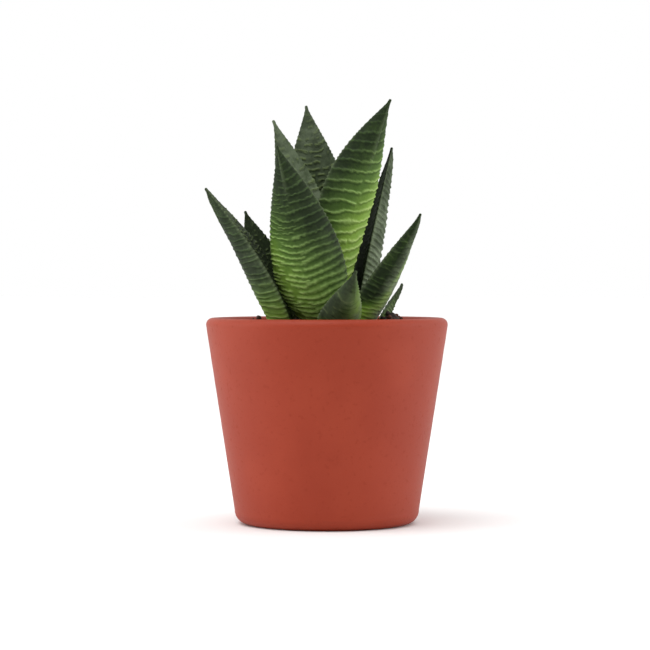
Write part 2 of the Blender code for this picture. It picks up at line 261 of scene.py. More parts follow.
class StudioLook(PropertyGroup):
    surround: FloatProperty(
        name="Surround", description="Brightness of the white surroundings", default=1.0)
    front: FloatProperty(
        name="Front", description="Brightness of the surroundings in front of the plant", default=0.40)
    overhead: FloatProperty(
        name="Overhead", description="Strength of the wide soft light above", default=1.5)
    sides: FloatProperty(
        name="Sides", description="Strength of each soft light beside the pot, in watts", default=1.5)
    floor_color: FloatVectorProperty(
        name="Floor", description="Colour of the plain pale floor", default=(0.90, 0.90, 0.895),
        size=3, subtype="COLOR")


# ---------------------------------------------------------------- unevenness and meshes


def smooth(low, high, x):
    """0 below low, 1 above high and the S curve 3x*x - 2x*x*x between them."""
    x = np.clip((x - low) / (high - low), 0.0, 1.0)
    return x * x * (3 - 2 * x)


def waves(x, y, seed, size, count=7):
    """Soft unevenness of about -1 to 1: a sum of sine waves about size long in seeded directions."""
    rng = np.random.default_rng(seed)
    total = 0.0
    for _ in range(count):
        way, length, start = rng.uniform(0, TAU), size * rng.uniform(0.7, 1.5), rng.uniform(0, TAU)
        total = total + np.sin(TAU * (x * math.cos(way) + y * math.sin(way)) / length + start)
    return total / math.sqrt(count)


def chance(row, place, seed):
    """A seeded number from 0 to 1 for each whole row and place, with an S curve from place to place."""
    table = np.random.default_rng(seed).random((256, 256))
    low = np.floor(place).astype(int)
    share = place - low
    share = share * share * (3 - 2 * share)
    row = row.astype(int) % 256
    return table[row, low % 256] * (1 - share) + table[row, (low + 1) % 256] * share


def patches(x, y, seed, size):
    """Value noise from 0 to 1: seeded numbers on a square grid of size, with S curves between them."""
    x, y = x / size, y / size
    row = np.floor(x)
    share = x - row
    share = share * share * (3 - 2 * share)
    return chance(row, y, seed) * (1 - share) + chance(row + 1, y, seed) * share


def unit(vectors):
    """The vectors divided by their lengths."""
    return vectors / np.maximum(np.linalg.norm(vectors, axis=-1, keepdims=True), 1e-12)


def add_mesh(name, points, quads, triangles=NO_TRIANGLES, marks=None):
    """A smooth-shaded mesh object at the origin, from arrays of points, quads and triangles."""
    mesh = bpy.data.meshes.new(name)
    corners = np.concatenate([quads.ravel(), triangles.ravel()]).astype(np.int32)
    starts = np.concatenate([np.arange(len(quads)) * 4, 4 * len(quads) + np.arange(len(triangles)) * 3])
    mesh.vertices.add(len(points))
    mesh.vertices.foreach_set("co", points.astype(np.float32).ravel())
    mesh.loops.add(len(corners))
    mesh.loops.foreach_set("vertex_index", corners)
    mesh.polygons.add(len(starts))
    mesh.polygons.foreach_set("loop_start", starts.astype(np.int32))
    mesh.polygons.foreach_set("use_smooth", np.ones(len(starts), dtype=bool))
    mesh.update(calc_edges=True)
    for mark, values in (marks or {}).items():
        layer = mesh.attributes.new(mark, "FLOAT", "POINT")
        layer.data.foreach_set("value", values.astype(np.float32).ravel())
    piece = bpy.data.objects.new(name, mesh)
    bpy.context.scene.collection.objects.link(piece)
    return piece


def grid_faces(rows, columns, loop_rows=False):
    """Quads of a grid that closes round its columns, facing row direction x column direction."""
    index = np.arange(rows * columns).reshape(rows, columns)
    beside = np.roll(index, -1, axis=1)
    if loop_rows:
        quads = np.stack([index, np.roll(index, -1, 0), np.roll(beside, -1, 0), beside], -1)
    else:
        quads = np.stack([index[:-1], index[1:], beside[1:], beside[:-1]], -1)
    return index, beside, quads.reshape(-1, 4)


def poles(index, beside, first, last):
    """Triangles from a pole point to the grid's first row, and from its last row to another."""
    start = np.stack([np.full_like(index[0], first), index[0], beside[0]], -1)
    end = np.stack([index[-1], np.full_like(index[-1], last), beside[-1]], -1)
    return np.concatenate([start, end])


# ---------------------------------------------------------------- materials


class Value:
    """A number that changes over a surface. Sums on it add the material's Math nodes."""

    def __init__(self, finish, socket):
        self.finish, self.socket = finish, socket

    def _math(self, operation, first, second):
        node = self.finish.node(
            "ShaderNodeMath", {"operation": operation}, {"Value": first, "Value_001": second})
        return Value(self.finish, node.outputs[0])

    def __add__(self, other):
        return self._math("ADD", self, other)

    __radd__ = __add__

    def __sub__(self, other):
        return self._math("SUBTRACT", self, other)

    def __rsub__(self, other):
        return self._math("SUBTRACT", other, self)

    def __mul__(self, other):
        return self._math("MULTIPLY", self, other)

    __rmul__ = __mul__

    def clamped(self):
        """The number held between 0 and 1."""
        return self._math("MAXIMUM", self._math("MINIMUM", self, 1.0), 0.0)


class Finish:
    """The nodes of a material or a world: its shader, and one way to add any other node."""

    def __init__(self, owner, shader="Principled BSDF", coordinates="Object"):
        owner.use_nodes = True
        self.owner = owner
        self.tree = owner.node_tree
        self.shader = self.tree.nodes[shader]
        self.place = self.node("ShaderNodeTexCoord").outputs[coordinates]

    def feed(self, node, name, value):
        """Links or sets the socket of that name: a colour of three numbers gets its alpha here."""
        socket = next(s for s in node.inputs if s.identifier == name)
        if isinstance(value, Value):
            value = value.socket
        if isinstance(value, bpy.types.NodeSocket):
            self.tree.links.new(value, socket)
        elif hasattr(value, "__len__") and len(value) == 3 and socket.type == "RGBA":
            socket.default_value = (*value, 1.0)
        else:
            socket.default_value = value

    def node(self, kind, settings=None, values=None):
        """Adds a node: its settings first, a ramp's stops among them, then its sockets."""
        node = self.tree.nodes.new(kind)
        for name, value in (settings or {}).items():
            if name == "stops":
                for index, (place, color) in enumerate(value):
                    ramp = node.color_ramp.elements
                    stop = ramp[index] if index < len(ramp) else ramp.new(place)
                    stop.position, stop.color = place, (*color, 1.0)
            else:
                setattr(node, name, value)
        for name, value in (values or {}).items():
            self.feed(node, name, value)
        return node

    def mark(self, name):
        """A mark that the mesh carries from point to point."""
        node = self.node("ShaderNodeAttribute", {"attribute_name": name})
        return Value(self, node.outputs["Fac"])

    def noise(self, size, detail=3.0, roughness=0.55, warp=0.0):
        """Fractal noise from 0 to 1 whose lumps are about size long."""
        node = self.node("ShaderNodeTexNoise", None, {
            "Vector": self.place, "Scale": 1.0 / size, "Detail": detail, "Roughness": roughness,
            "Distortion": warp})
        return Value(self, node.outputs["Fac"])

    def cells(self, size):
        """The distance to the nearest of scattered points that lie about size apart."""
        node = self.node("ShaderNodeTexVoronoi", None, {"Vector": self.place, "Scale": 1.0 / size})
        return Value(self, node.outputs["Distance"])

    def spread(self, value, low, high, start=0.0, end=1.0):
        """Maps low..high to start..end with an S curve, held outside."""
        node = self.node("ShaderNodeMapRange", {"interpolation_type": "SMOOTHSTEP"}, {
            "Value": value, "From Min": low, "From Max": high, "To Min": start, "To Max": end})
        return Value(self, node.outputs["Result"])

    def mix(self, first, second, share):
        """The first colour, with a share from 0 to 1 of the second."""
        node = self.node("ShaderNodeMix", {"data_type": "RGBA"}, {
            "Factor_Float": share, "A_Color": first, "B_Color": second})
        return next(s for s in node.outputs if s.identifier == "Result_Color")

    def ramp(self, value, stops):
        """The colour at a value, straight from stop to stop."""
        node = self.node("ShaderNodeValToRGB", {"stops": stops}, {"Fac": value})
        return node.outputs["Color"]

    def bump(self, height, depth, strength=1.0, under=None):
        """A normal bent by a height, on top of the coarser or finer normal under it."""
        values = {"Height": height, "Distance": depth, "Strength": strength}
        if under is not None:
            values["Normal"] = under
        return self.node("ShaderNodeBump", None, values).outputs["Normal"]

    def done(self, **values):
        """Sets the shader's sockets, named with underscores for spaces, and returns its owner."""
        for name, value in values.items():
            self.feed(self.shader, name.replace("_", " "), value)
        return self.owner


def new_finish(name):
    """The nodes of a new material."""
    return Finish(bpy.data.materials.new(name))


def scaled(color, share):
    """A colour made darker or lighter by a share."""
    return [part * share for part in color]


def clay_finish(look):
    """Fine matt clay: cloudy patches, a fine grain and a few rubbed, lighter places."""
    finish = new_finish("clay_red")
    cloud = finish.noise(22 * MM, 3.0, 0.5)
    grain = finish.noise(0.55 * MM, 4.0, 0.6)
    pits = finish.spread(finish.noise(1.4 * MM, 2.0, 0.5), 0.30, 0.40, 1.0, 0.0)
    base = finish.mix(look.clay, look.clay_light, finish.spread(cloud, 0.38, 0.66))
    base = finish.mix(base, scaled(look.clay, 0.80), pits * 0.35)
    base = finish.mix(base, scaled(look.clay_light, 1.25), finish.spread(grain, 0.56, 0.72) * 0.30)
    relief = finish.bump(grain, 0.05 * MM, 0.55)
    relief = finish.bump(cloud, 0.4 * MM, 0.10, relief)
    return finish.done(
        Base_Color=base, Roughness=0.46 + grain * 0.16 + pits * 0.08, Normal=relief,
        Specular_IOR_Level=0.32)


def soil_finish(look):
    """Damp peat with fibres of reddish bark and a coarse crumb."""
    finish = new_finish("potting_mix")
    crumb = finish.noise(1.6 * MM, 6.0, 0.65)
    fibre = finish.noise(4.0 * MM, 5.0, 0.7, 1.5)
    base = finish.mix(look.peat, look.bark, finish.spread(fibre, 0.48, 0.66))
    base = finish.mix(base, scaled(look.peat, 0.4), finish.spread(crumb, 0.35, 0.5, 1.0, 0.0))
    relief = finish.bump(crumb, 0.8 * MM, 0.9)
    return finish.done(Base_Color=base, Roughness=0.82 + crumb * 0.16, Normal=relief)


def crumb_finish(look):
    """Loose crumbs: each has its own share of bark, from dark peat to reddish brown."""
    finish = new_finish("soil_crumb")
    kind = finish.mark("kind")
    crumb = finish.noise(0.5 * MM, 4.0, 0.65)
    base = finish.mix(look.peat, look.bark, finish.spread(kind, 0.20, 0.85))
    base = finish.mix(base, scaled(look.peat, 0.35), finish.spread(crumb, 0.35, 0.55, 0.8, 0.0))
    return finish.done(
        Base_Color=base, Roughness=0.85 + crumb * 0.12, Normal=finish.bump(crumb, 0.25 * MM, 0.8))


def grain_finish(look):
    """Pale, slightly porous mineral grains with a warm stain."""
    finish = new_finish("pale_grain")
    stain = finish.noise(1.1 * MM, 4.0, 0.6)
    pores = finish.cells(0.22 * MM)
    base = finish.mix(look.mineral, scaled(look.mineral, 0.55), finish.spread(stain, 0.45, 0.75))
    return finish.done(
        Base_Color=base, Roughness=0.70 + stain * 0.2, Normal=finish.bump(pores, 0.1 * MM, 0.7))


def stem_finish(look):
    """Corky stem and roots: pale tan with darker cross wrinkles."""
    finish = new_finish("cork_stem")
    wrinkle = finish.noise(1.8 * MM, 5.0, 0.65, 0.8)
    base = finish.mix(look.cork, look.cork_dark, finish.spread(wrinkle, 0.42, 0.62))
    return finish.done(
        Base_Color=base, Roughness=0.72 + wrinkle * 0.2, Normal=finish.bump(wrinkle, 0.4 * MM, 0.8))


def leaf_finish(look):
    """Leaf skin: green that brightens towards the base, partly by painted light through it, paler ribs,
    teeth and warts, pale wax with painted sheen, and painted shade under the ribs and on the inner faces.
    """
    finish = new_finish("leaf_skin_green")
    rib, glow, bloom = finish.mark("rib"), finish.mark("glow"), finish.mark("bloom")
    edge, foot = finish.mark("edge"), finish.mark("foot")
    cloud = finish.noise(5.0 * MM, 4.0, 0.6)
    mottle = finish.noise(0.9 * MM, 4.0, 0.65)
    fine = finish.noise(0.28 * MM, 3.0, 0.6)
    # The glow mark brings painted light: brighter bases and lit sides, darker inner faces.
    reach = (glow + (cloud - 0.5) * 0.35 + (mottle - 0.5) * 0.22).clamped()
    skin = finish.ramp(reach, ((0.0, look.dark), (0.45, look.mid), (1.0, look.bright)))
    crest = finish.ramp(reach, ((0.0, look.rib_dark), (0.45, look.rib_mid), (1.0, look.rib_bright)))
    rib_share = (rib * (0.82 + mottle * 0.36)).clamped()
    base = finish.mix(skin, crest, rib_share)
    base = finish.mix(base, look.root_tint, foot * finish.spread(mottle, 0.3, 0.6, 0.45, 0.95))
    # Pale wax together with painted sheen.
    base = finish.mix(base, look.bloom, (bloom * finish.spread(cloud, 0.36, 0.64, 0.55, 1.25)).clamped())
    base = finish.mix(base, look.wart, (finish.mark("wart") * (0.5 + mottle)).clamped())
    base = finish.mix(base, look.tooth_color, edge * 0.62)
    base = finish.mix(base, (0.0, 0.0, 0.0), finish.spread(fine, 0.30, 0.52, 0.16, 0.0))
    # Painted shade from the shade mark: shadow under the ribs and warts, and the shaded inner faces.
    shade = finish.mark("shade")
    base = finish.mix(base, look.shade_green, shade * 0.94)
    relief = finish.bump(fine, 0.05 * MM, 0.6)
    relief = finish.bump(mottle, 0.16 * MM, 0.45, relief)
    return finish.done(
        Base_Color=base, Roughness=0.48 + mottle * 0.14 + bloom * 0.12 + shade * 0.3, Normal=relief,
        Specular_IOR_Level=0.10)


def floor_finish(look):
    """Plain pale floor with a barely visible unevenness."""
    finish = new_finish("studio_floor")
    cloud = finish.noise(0.4, 2.0, 0.5)
    base = finish.mix(look.floor_color, scaled(look.floor_color, 0.985), cloud)
    return finish.done(Base_Color=base, Roughness=0.8 + cloud * 0.1)


# ---------------------------------------------------------------- pot


FOOT_RING = 19 * MM                 # inner radius of the ring that the pot stands on
RECESS = 1.2 * MM                   # height of the underside above that ring
FLOOR_TOP = 6 * MM                  # height of the floor inside the pot
FLOOR_ROUND = 5 * MM                # round between that floor and the wall
DRAIN = 4.5 * MM                    # radius of the drain hole
EDGE = 0.5 * MM                     # round of the foot ring's and the drain hole's edges
POT_COLUMNS = 240                   # points round the pot


def bend(centre_r, centre_z, radius, start, end, count):
    """Points of an arc in the profile plane, from start to end degrees."""
    angle = np.radians(np.linspace(start, end, count))
    return np.stack([centre_r + radius * np.cos(angle), centre_z + radius * np.sin(angle)], -1)


def straight(start, end, count):
    """Points of a straight line, without its two ends."""
    share = np.linspace(0, 1, count + 2)[1:-1, None]
    return np.asarray(start) * (1 - share) + np.asarray(end) * share


def pot_profile(look):
    """Over the rounded lip, down the outside, under the foot, up the drain and across the floor."""
    height = POT_HIGH.z
    lip = look.wall / 2

    def outer(z):
        """The wall's outer radius, which grows evenly with the height."""
        return POT_HIGH.x - look.taper + look.taper * z / (height - lip)

    def inner(z):
        """The wall's inner radius at the same height."""
        return outer(z) - look.wall

    top = bend(outer(height - lip) - lip, height - lip, lip, 180, 0, 25)
    heel = bend(outer(look.heel) - look.heel, look.heel, look.heel, 0, -90, 17)
    foot = bend(FOOT_RING + EDGE, EDGE, EDGE, -90, -180, 5)
    under = np.array([[FOOT_RING - 0.6 * MM, 0.9 * MM], [FOOT_RING - RECESS, RECESS]])
    drain_low = np.array([[DRAIN, RECESS], [DRAIN, RECESS + 0.6 * MM]])
    drain_high = bend(DRAIN + EDGE, FLOOR_TOP - EDGE, EDGE, 180, 90, 5)
    floor_z = FLOOR_TOP + FLOOR_ROUND
    corner = bend(inner(floor_z) - FLOOR_ROUND, floor_z, FLOOR_ROUND, -90, 0, 9)
    return np.concatenate([
        top, straight(top[-1], heel[0], 70), heel, straight(heel[-1], foot[0], 4), foot, under,
        straight(under[-1], drain_low[0], 8), drain_low, straight(drain_low[-1], drain_high[0], 3),
        drain_high, straight(drain_high[-1], corner[0], 10), corner,
        straight(corner[-1], top[0], 40)])


class HAWORTHIA_OT_pot(Operator):
    """Turn the clay pot from its profile, with a slight waver in the wall and rim"""
    bl_idname = "haworthia.pot"
    bl_label = "Pot"

    def execute(self, context):
        look = context.scene.haworthia_pot
        profile = pot_profile(look)
        angle = np.linspace(0, TAU, POT_COLUMNS, endpoint=False)[None, :]
        r, z = profile[:, :1], profile[:, 1:]
        level = smooth(0.1, 0.9, z / POT_HIGH.z)
        stray = look.waver * level * (0.6 * np.sin(2 * angle + 0.6) + 0.4 * np.sin(3 * angle + 2.1))
        ripple = 0.018 * MM * np.sin(TAU * z / (7 * MM) + 0.8 * np.sin(angle)) * level
        r = r + (stray + ripple - look.waver)
        points = np.stack(np.broadcast_arrays(r * np.cos(angle), r * np.sin(angle), z), -1)
        quads = grid_faces(*points.shape[:2], loop_rows=True)[2]
        pot = add_mesh("clay_pot", points.reshape(-1, 3), quads)
        pot.data.materials.append(clay_finish(look))
        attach(pot, "root")
        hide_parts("pot")
        return {"FINISHED"}


# ---------------------------------------------------------------- soil

# Heaps of soil pushed up against the outer leaves: x, y, extra height and radius, in mm.
HEAPS = ((-22.5, -4.5, 3.4, 3.6), (20.0, -1.0, 3.2, 4.0), (21.5, 1.0, 2.2, 3.2), (-8.0, 24.0, 1.2, 5.0))
# Lumps in the soil's surface, from coarse to fine: size and depth in mm, and seed.
LUMPS = ((8, 0.9, 31), (3.4, 0.7, 32), (1.5, 0.45, 33), (0.7, 0.2, 34))
SOIL_GAP = 0.3 * MM                 # between the soil and the pot's wall
SOIL_LOW = 6.3 * MM                 # height of the soil's underside
SMALLEST = 0.35 * MM                # radius of the smallest crumb or grain
LARGEST_CRUMB = 1.15 * MM
LARGEST_GRAIN = 0.85 * MM
GRAINS_BELOW = 1.6 * MM             # no grain lies higher than this below the rim


def turns(angle, first, second):
    """A matrix for each angle, which turns from the first axis towards the second."""
    matrix = np.tile(np.eye(3), (len(angle), 1, 1))
    matrix[:, first, first] = matrix[:, second, second] = np.cos(angle)
    matrix[:, first, second] = -np.sin(angle)
    matrix[:, second, first] = np.sin(angle)
    return matrix


def crumb_shapes(centres, radii, seed, rows=5, columns=8):
    """Small knobbly lumps: a sphere of rows x columns for each centre, dented by seeded shares."""
    rng = np.random.default_rng(seed)
    count = len(centres)
    polar = np.linspace(0, math.pi, rows + 2)[1:-1]
    angle = np.linspace(0, TAU, columns, endpoint=False)
    ring = np.stack(np.broadcast_arrays(
        np.sin(polar)[:, None] * np.cos(angle), np.sin(polar)[:, None] * np.sin(angle),
        np.cos(polar)[:, None]), -1).reshape(-1, 3)
    ball = np.concatenate([ring, [[0, 0, 1], [0, 0, -1]]])
    stretch = rng.uniform(0.6, 1.25, (count, 1, 3))
    dents = rng.uniform(0.72, 1.18, (count, len(ball), 1))
    shape = ball[None] * stretch * dents
    about_z, about_x = rng.uniform(0, TAU, (2, count))
    shape = np.einsum("nij,njk,npk->npi", turns(about_z, 0, 1), turns(about_x, 1, 2), shape)
    index, beside, quads = grid_faces(rows, columns)
    triangles = poles(index, beside, rows * columns, rows * columns + 1)
    step = (np.arange(count) * len(ball))[:, None, None]
    points = (shape * radii[:, None, None] + centres[:, None, :]).reshape(-1, 3)
    quads = (quads[None] + step).reshape(-1, 4)[:, ::-1]
    return points, quads, (triangles[None] + step).reshape(-1, 3)[:, ::-1]


def soil_height(look, edge_r, x, y):
    """The soil's surface: a low mound, heaps against the leaves, and lumps of four sizes."""
    r = np.hypot(x, y)
    height = POT_HIGH.z - look.edge_drop + look.mound * (0.5 + 0.5 * np.cos(np.pi * r / edge_r))
    for heap_x, heap_y, rise, reach in HEAPS:
        away = np.hypot(x - heap_x * MM, y - heap_y * MM) / (reach * MM)
        height = height + rise * MM * np.exp(-away * away)
    for size, depth, seed in LUMPS:
        height = height + depth * MM * (patches(x + 0.2, y + 0.2, seed, size * MM) - 0.5)
    return height


def soil_bed(look, edge_r, edge_z, slope, rings=130, drops=13, columns=300):
    """The bed of soil: its surface on rings round the middle, then its side and its flat underside.

    The side is a straight line inwards that bulges by half a sine wave, to stay clear of the pot's
    rounded corner.
    """
    low_r = edge_r - slope * (edge_z - SOIL_LOW) - 3 * MM
    angle = np.linspace(0, TAU, columns, endpoint=False)[None, :]
    r = edge_r * np.linspace(0, 1, rings + 1)[1:, None]
    x, y = r * np.cos(angle), r * np.sin(angle)
    top = np.stack([x, y, soil_height(look, edge_r, x, y)], -1)
    drop = np.linspace(0, 1, drops + 1)[1:, None]
    side_r = edge_r + (low_r - edge_r) * drop + 2.2 * MM * np.sin(np.pi * drop) * drop
    side_z = edge_z - 1 * MM + (SOIL_LOW - edge_z) * drop
    side = np.stack(np.broadcast_arrays(side_r * np.cos(angle), side_r * np.sin(angle), side_z), -1)
    grid = np.concatenate([top, side])
    index, beside, quads = grid_faces(*grid.shape[:2])
    middle = [0, 0, soil_height(look, edge_r, np.zeros(1), np.zeros(1))[0]]
    points = np.concatenate([grid.reshape(-1, 3), [middle, [0, 0, side_z[-1, 0]]]])
    return add_mesh("soil_bed", points, quads, poles(index, beside, len(points) - 2, len(points) - 1))


def strew(look, edge_r, rng, name, count, largest, highest, seed):
    """Lumps of seeded sizes, evenly spread over the bed below highest and half sunk into it."""
    r = (edge_r - largest) * np.sqrt(rng.random(count))
    angle = rng.uniform(0, TAU, count)
    radii = SMALLEST + (largest - SMALLEST) * rng.random(count) ** 2.2
    x, y = r * np.cos(angle), r * np.sin(angle)
    z = soil_height(look, edge_r, x, y) + 0.35 * radii
    low = z < highest
    points, quads, triangles = crumb_shapes(np.stack([x, y, z], -1)[low], radii[low], seed)
    kinds = np.repeat(rng.random(count)[low], len(points) // np.count_nonzero(low))
    piece = add_mesh(name, points, quads, triangles, {"kind": kinds})
    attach(piece, "root")
    return piece


class HAWORTHIA_OT_soil(Operator):
    """Fill the pot with crumbly potting mix, and strew loose crumbs and pale grains on it"""
    bl_idname = "haworthia.soil"
    bl_label = "Soil"

    def execute(self, context):
        look = context.scene.haworthia_soil
        pot = context.scene.haworthia_pot
        edge_z = POT_HIGH.z - look.edge_drop
        slope = pot.taper / (POT_HIGH.z - pot.wall / 2)
        edge_r = POT_HIGH.x - pot.taper + slope * edge_z - pot.wall - SOIL_GAP
        bed = soil_bed(look, edge_r, edge_z, slope)
        bed.data.materials.append(soil_finish(look))
        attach(bed, "root")
        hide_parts("soil")

        rng = np.random.default_rng(7)
        crumbs = strew(look, edge_r, rng, "soil_crumbs", look.crumbs, LARGEST_CRUMB,
                       POT_HIGH.z + look.mound, 51)
        crumbs.data.materials.append(crumb_finish(look))
        grains = strew(look, edge_r, rng, "pale_grains", look.grains, LARGEST_GRAIN,
                       POT_HIGH.z - GRAINS_BELOW, 52)
        grains.data.materials.append(grain_finish(look))
        return {"FINISHED"}


class HAWORTHIA_OT_stem(Operator):
    """Give the short stem and its roots their corky skin"""
    bl_idname = "haworthia.stem"
    bl_label = "Stem"

    def execute(self, context):
        cork = stem_finish(context.scene.haworthia_stem)
        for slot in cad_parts["stem"].material_slots:
            slot.material = cork
        return {"FINISHED"}


# ---------------------------------------------------------------- leaves: their skin

# On a leaf t runs from 0 at the base to 1 at the tip, and s is the same way in mm. u runs from -1 at the
# left margin to 1 at the right, seen from behind the leaf, and across is the same way in mm. rise is 1 at
# the middle of the back, 0 at the margins and -1 at the middle of the inner face.


def leaf_width(leaf, t):
    """Share of the greatest width: a quarter sine up to the peak, then a cosine to the tip."""
    rising = leaf.foot + (1 - leaf.foot) * np.sin(np.pi / 2 * np.minimum(t / leaf.peak, 1))
    along = np.clip((t - leaf.peak) / (1 - leaf.peak), 0, 1)
    falling = np.maximum(np.cos(np.pi / 2 * along), 0) ** TIP_TAPER
    return np.where(t < leaf.peak, rising, falling)


def leaf_spine(leaf, t):
    """The parabola through base, middle and tip, with the directions across and behind it."""
    base, middle, tip = (np.array(point) * MM for point in (leaf.base, leaf.middle, leaf.tip))
    lift = 4 * middle - 3 * base - tip
    curl = 2 * base + 2 * tip - 4 * middle
    t = t[:, None]
    points = base + lift * t + curl * t * t
    along = unit(lift + 2 * curl * t)
    facing = np.radians(leaf.face_base + (leaf.face_tip - leaf.face_base) * t[:, 0])
    back = np.stack([np.cos(facing), np.sin(facing), np.zeros_like(facing)], -1)
    back = unit(back - np.sum(back * along, -1, keepdims=True) * along)
    return points, np.cross(along, back), back


def rib_rows(run, pitch, place, gaps, seed, spread):
    """Ribs across a face: a crest in each pitch, steeper on its lower side, broken by seeded gaps.

    Returns the crest's height from 0 to 1, a wider mark for its colour, the dark line under it, which is
    painted shadow of the crest over the skin's own faint darker line, and the whole number of the rib.
    """
    phase = run / pitch
    row = np.floor(phase) + 40
    away = phase - np.floor(phase) - 0.5
    crest = np.exp(-(away / (spread * np.where(away < 0, 0.75, 1.05))) ** 2)
    mark = np.exp(-(away / spread) ** 2)
    whole = smooth(gaps - 0.14, gaps + 0.14, chance(row, place / 2.6 + 60, seed))
    knobs = 0.74 + 0.52 * chance(row, place / 0.55 + 90, seed + 1)
    # Painted shadow: a dark band just below each crest.
    under = np.exp(-((away + 0.13 + spread) / 0.11) ** 2)
    return crest * whole * knobs, mark * whole * (0.4 + 0.6 * knobs), under * whole, row


def back_ribs(ribs, seed, t, s, u, across):
    """The ribs behind a leaf in three bands: right of the keel, left of it, and the left fringe.

    Each band has its own pitch, and each rib ends at its own seeded place, so ribs of neighbouring
    bands interlock. Their ends are swept towards the tip by the power 1.5 of the way from the keel.
    Returns their crests, the marks for their colour and the dark lines of painted shadow under them.
    """
    left = u < ribs.keel
    reach = np.where(left, (ribs.keel - u) / (1 + ribs.keel), (u - ribs.keel) / (1 - ribs.keel))
    sway = 0.34 * waves(across, s, seed, 7.0) + 0.12 * waves(across, s, seed + 1, 1.7)
    run = s - np.where(left, ribs.sweep_left, ribs.sweep_right) * reach ** 1.5 + sway
    run = run + 6.0 * (1 - np.exp(-np.maximum(run, 0) / 13.0))
    low = 1 - smooth(0.10, 0.62, t)
    spread = 0.105 + (0.05 + ribs.broad) * low
    beyond = 2.0
    border = ribs.keel - 0.55 * (1 + ribs.keel) if ribs.fringe < ribs.tight else -beyond
    bands = (
        (1.0, 0.0, ribs.keel, beyond, ribs.gaps_right),
        (ribs.tight, 0.12, border, ribs.keel, ribs.gaps_left),
        (ribs.fringe, 0.45, -beyond, border, ribs.gaps_left + 0.06),
    )
    parts = [0.0, 0.0, 0.0]
    for number, (share, start, from_u, to_u, gaps) in enumerate(bands):
        pitch = ribs.pitch * share
        band_seed = seed + 2 + 3 * number
        *band, row = rib_rows(run + start * pitch, pitch, across, gaps - 0.12, band_seed, spread)
        stray = 0.26 * (chance(row, 0.0 * across, band_seed + 2) - 0.45)
        inside = smooth(-0.06, 0.03, u - from_u + stray) * smooth(-0.06, 0.03, to_u - u + stray)
        parts = [np.maximum(part, new * inside) for part, new in zip(parts, band)]
    return parts


def leaf_relief(ribs, seed, t, s, u, rise, half):
    """The skin's height in mm, the teeth from 0 to 1, and the relief's marks.

    Behind the spine ribs run across and sag at the keel. Inside it they are broken into warts, and a
    few warts lie on a back whose ribs are low. Teeth run along both margins. The shade mark is painted
    shadow under the ribs and the warts.
    """
    across = u * half
    crest, mark, under = back_ribs(ribs, seed, t, s, u, across)
    fibre = patches(across + 50, s * 0.12 + 50, seed + 12, 0.34)
    mark = mark * (1 - (1 - smooth(0.18, 0.42, t)) * 0.45 * fibre) * smooth(0.02, 0.26, ribs.height)
    inner_run = (s - 1.0 * u * u + 0.28 * waves(across, s, seed + 5, 4.0)
                 + 0.10 * waves(across, s, seed + 3, 1.3))
    wart, wart_mark, wart_shadow, _ = rib_rows(
        inner_run, ribs.rows, across * 3.0, 0.76 - 0.32 * ribs.warts, seed + 6, 0.15)
    behind = smooth(-0.05, 0.22, rise)
    inside = smooth(-0.05, 0.22, -rise)
    flecked = behind * (1 - smooth(0.06, 0.20, ribs.height))
    fade = smooth(0.02, 0.12, t) * (1 - 0.72 * smooth(0.70, 0.98, t))
    edge = np.exp(-(rise / MARGIN) ** 2) * smooth(0.05, 0.2, t)
    tooth = (0.5 + 0.5 * np.sin(TAU * s / TOOTH_PITCH + 1.6 * waves(u * 3, s, seed + 9, 6.0))) ** 1.4
    keel = np.exp(-((u - ribs.keel) / 0.11) ** 2) * smooth(0.64, 0.86, t) * (rise > 0) * rise
    warty = WART_HEIGHT * ribs.warts * fade * wart * (inside + 0.5 * flecked)
    height = ribs.height * fade * crest * behind + warty
    height = height - 0.3 * ribs.height * fade * behind
    height = height + KEEL_HEIGHT * keel * (1 - smooth(0.93, 1.0, t))
    marks = {
        "rib": np.clip(fade * mark * behind, 0, 1),
        "wart": np.clip(fade * 1.1 * ribs.warts * wart_mark * (inside + flecked), 0, 1),
        # Painted shadow under the ribs on the back and under the warts inside.
        "shade": fade * (0.42 * under * behind + 0.60 * ribs.warts * wart_shadow * inside),
        "edge": np.clip(edge * (0.4 + 0.6 * tooth) + 0.45 * keel, 0, 1),
    }
    return height, edge * tooth * fade, marks


def leaf_tints(tint, marks, t, u, rise):
    """Adds to the relief's marks the leaf's colour and its painted light and shade: glow, bloom, shade and
    foot.
    """
    inside = smooth(-0.05, 0.3, -rise)
    # Painted light: the lit side of a leaf keeps its glow further up and is made brighter, the other side
    # darker.
    further = 1 + 0.30 * np.clip(tint.tilt * u, -0.8, 0.8)
    fall = 1 - smooth(0.06, 1.0, t / (tint.fade * further))
    tilt = 1 + tint.tilt * u * (0.15 + 0.85 * smooth(0.1, 0.5, t))
    high = smooth(0.35, 0.9, t)
    within = tint.bloom_low + (tint.bloom_high - tint.bloom_low) * high
    # Pale wax with painted sheen on the back, more towards the right side and the base; the inner face has
    # its own share.
    behind = tint.bloom * (1 + 0.6 * abs(tint.tilt) * u) * (1 - inside) * (1.25 - 0.7 * high)
    # Painted shade on the inner face, graded from the base to the tip.
    darker = tint.shade + (tint.shade_high - tint.shade) * high
    return {
        **marks,
        # The glow: partly the skin's own paler base, partly painted light shining through the leaf, with
        # painted shade on the inner face.
        "glow": np.clip(tint.glow * fall * tilt * (1 - 0.35 * inside), 0, 1),
        "bloom": behind + within * inside,
        "shade": np.clip(marks["shade"] + darker * smooth(-0.1, 0.15, -rise), 0, 1),
        "foot": (1 - smooth(0.02, 0.17, t)) * 0.9,
    }


